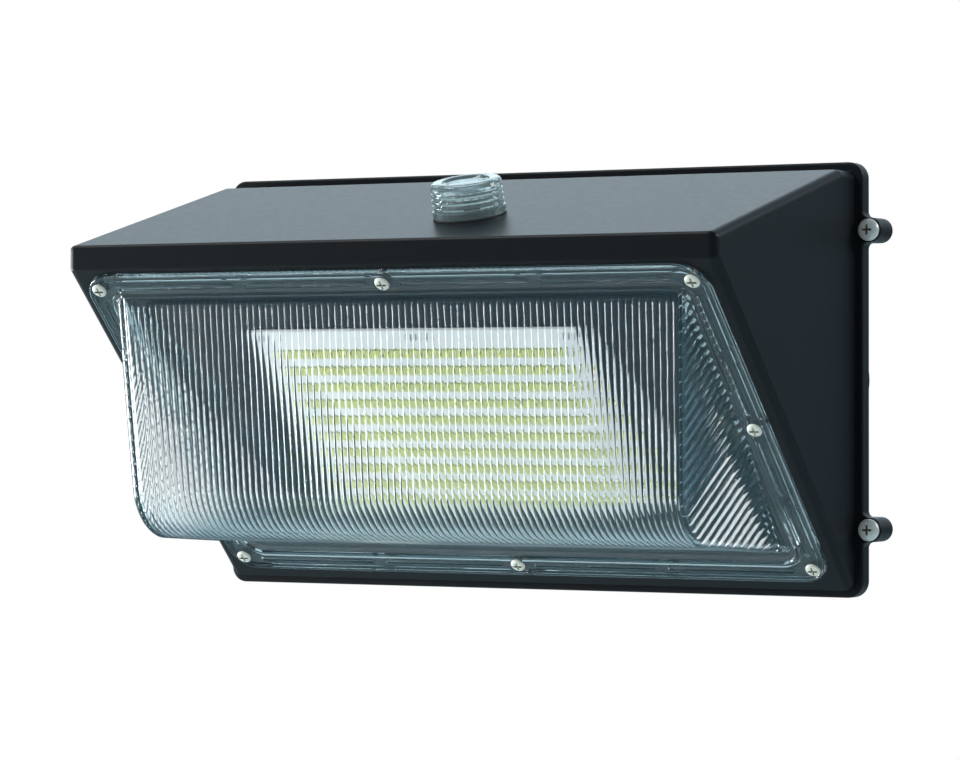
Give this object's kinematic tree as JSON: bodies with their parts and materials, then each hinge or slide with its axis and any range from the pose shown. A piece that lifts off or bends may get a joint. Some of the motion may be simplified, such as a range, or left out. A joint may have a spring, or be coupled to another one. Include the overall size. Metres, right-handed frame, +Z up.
{
  "type": "wall pack light",
  "caption": "Outdoor LED wall pack light: wedge-shaped die-cast door with a ribbed clear lens, hinged on a shallow wall box.",
  "frame": {"origin": "centre of the wall bolt pattern, on the wall", "axes": "+X to the right seen from the front, +Y into the wall, +Z up"},
  "size_m": [0.3789, 0.1893, 0.21],
  "materials": {
    "powder_coat": "fine satin powder coat",
    "clear_lens": "clear moulded polycarbonate",
    "clear_cap": "clear moulded polycarbonate",
    "rubber": "matte silicone",
    "lens_screw_steel": "satin",
    "stainless_steel": "satin",
    "white_board": "white solder mask on aluminium",
    "led_phosphor": "yellow phosphor resin",
    "grey_pad": "matte thermal pad",
    "driver_aluminium": "satin extruded",
    "black_plastic": "matte moulded",
    "white_plastic": "matte moulded",
    "plug_metal": "satin powder coat",
    "green_screw": "dyed zinc"
  },
  "bodies": {
    "wall_box": {"rear_housing": "powder_coat", "housing_gasket": "rubber", "hinge_pins": "stainless_steel", "conduit_plugs": "plug_metal", "conduit_rings": "rubber", "ground_screw": "green_screw"},
    "door": {"front_housing": "powder_coat", "lens": "clear_lens", "photocell_cap": "clear_cap", "lens_gasket": "rubber", "lead_grommet": "rubber", "photocell_seal": "rubber", "lens_screws": "lens_screw_steel", "board_screws": "stainless_steel", "driver_screws": "stainless_steel", "led_board": "white_board", "led_packages": "led_phosphor", "thermal_pad": "grey_pad", "driver_case": "driver_aluminium", "driver_end_caps": "black_plastic", "terminal_block": "white_plastic", "photocell_body": "black_plastic", "photocell_nut": "black_plastic"},
    "upper_screw": {"door_screw_upper": "stainless_steel"},
    "lower_screw": {"door_screw_lower": "stainless_steel"}
  },
  "joints": [
    {"name": "door_hinge", "type": "hinge", "parent": "wall_box", "child": "door", "pos_m": [-0.1845, -0.021, 0], "axis": [0, 0, -1], "range_deg": [0, 95]},
    {"name": "upper_screw_turn", "type": "hinge", "parent": "door", "child": "upper_screw", "pos_m": [0.18345, -0.035, 0.0721], "axis": [0, -1, 0], "continuous": true},
    {"name": "lower_screw_turn", "type": "hinge", "parent": "door", "child": "lower_screw", "pos_m": [0.18345, -0.035, -0.0721], "axis": [0, -1, 0], "continuous": true}
  ]
}
